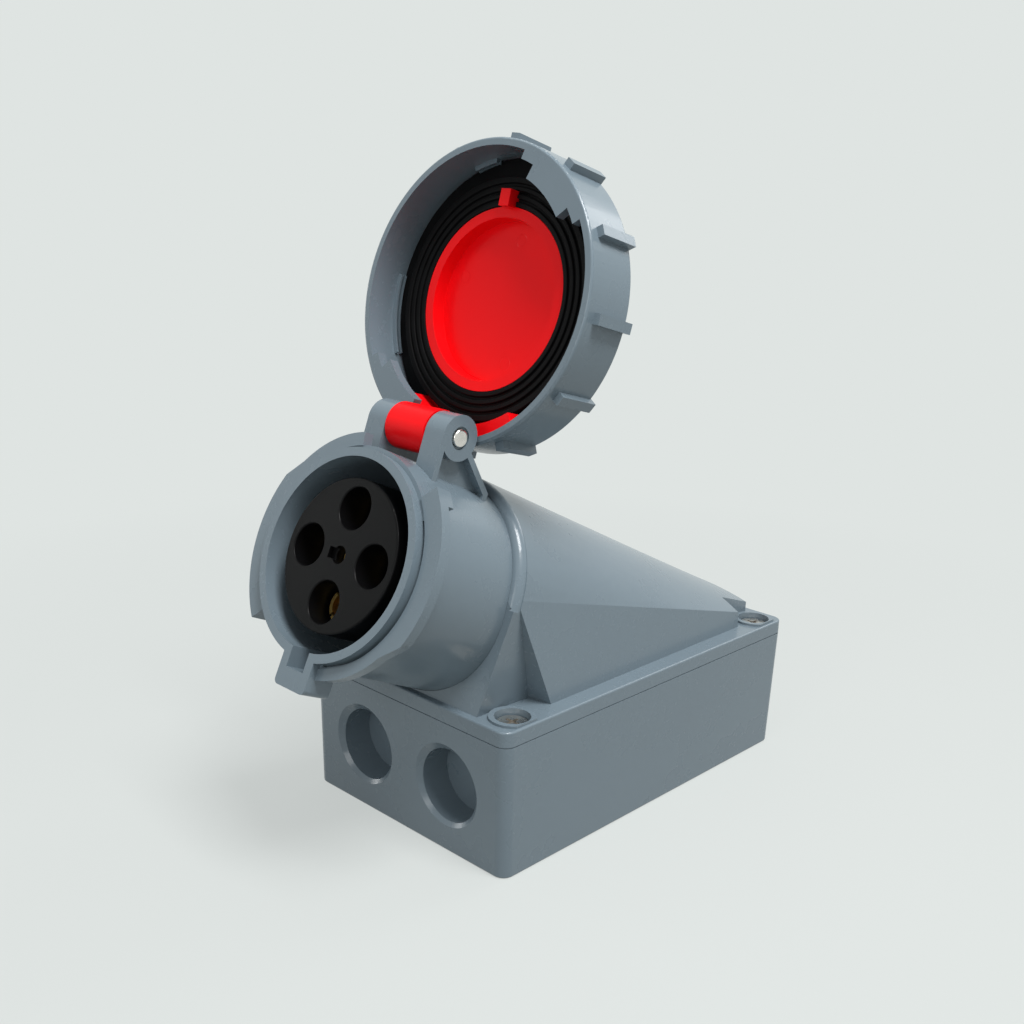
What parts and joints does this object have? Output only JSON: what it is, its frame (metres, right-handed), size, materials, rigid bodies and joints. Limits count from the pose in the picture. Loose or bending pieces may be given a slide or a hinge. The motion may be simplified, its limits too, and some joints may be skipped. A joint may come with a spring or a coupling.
{
  "type": "surface mounted industrial power socket",
  "caption": "Grey surface box with an angled round power socket, open red hinged lid, rubber sealing disc and turning bayonet locking ring.",
  "frame": {"origin": "centre of the flat mounting face under the box", "axes": "+Z away from the wall through the box, -Y towards the mouth of the socket, X across the box"},
  "size_m": [0.1226, 0.2404, 0.2703],
  "materials": {
    "housing_grey": "satin moulded grey plastic",
    "lid_red": "satin moulded red plastic",
    "insert_black": "matt black moulded plastic",
    "rubber_black": "soft black rubber",
    "steel": "bright plated steel",
    "brass": "turned brass"
  },
  "bodies": {
    "housing": {"base_box": "housing_grey", "box_gasket": "rubber_black", "cover_housing": "housing_grey", "cover_screws": "steel", "socket_shell": "housing_grey", "shell_seal": "rubber_black", "shell_screws": "steel", "contact_insert": "insert_black", "insert_screws": "steel", "terminal_block": "insert_black", "block_screws": "steel", "phase_contact_left": "brass", "phase_contact_top": "brass", "phase_contact_right": "brass", "earth_contact": "brass", "pilot_contact": "brass", "contact_springs": "steel", "terminal_screws": "steel", "pilot_screw": "steel", "hinge_pin": "steel"},
    "lid": {"lid": "lid_red", "lid_gasket": "rubber_black"},
    "locking_ring": {"locking_ring": "housing_grey"}
  },
  "joints": [
    {"name": "lid_hinge", "type": "hinge", "parent": "housing", "child": "lid", "pos_m": [0, -0.08535, 0.16253], "axis": [1, 0, 0], "range_deg": [0, 170.2]},
    {"name": "ring_turn", "type": "hinge", "parent": "lid", "child": "locking_ring", "pos_m": [0, -0.05138, 0.20912], "axis": [0, 0.9694, -0.2453], "range_deg": [0, 74]}
  ]
}
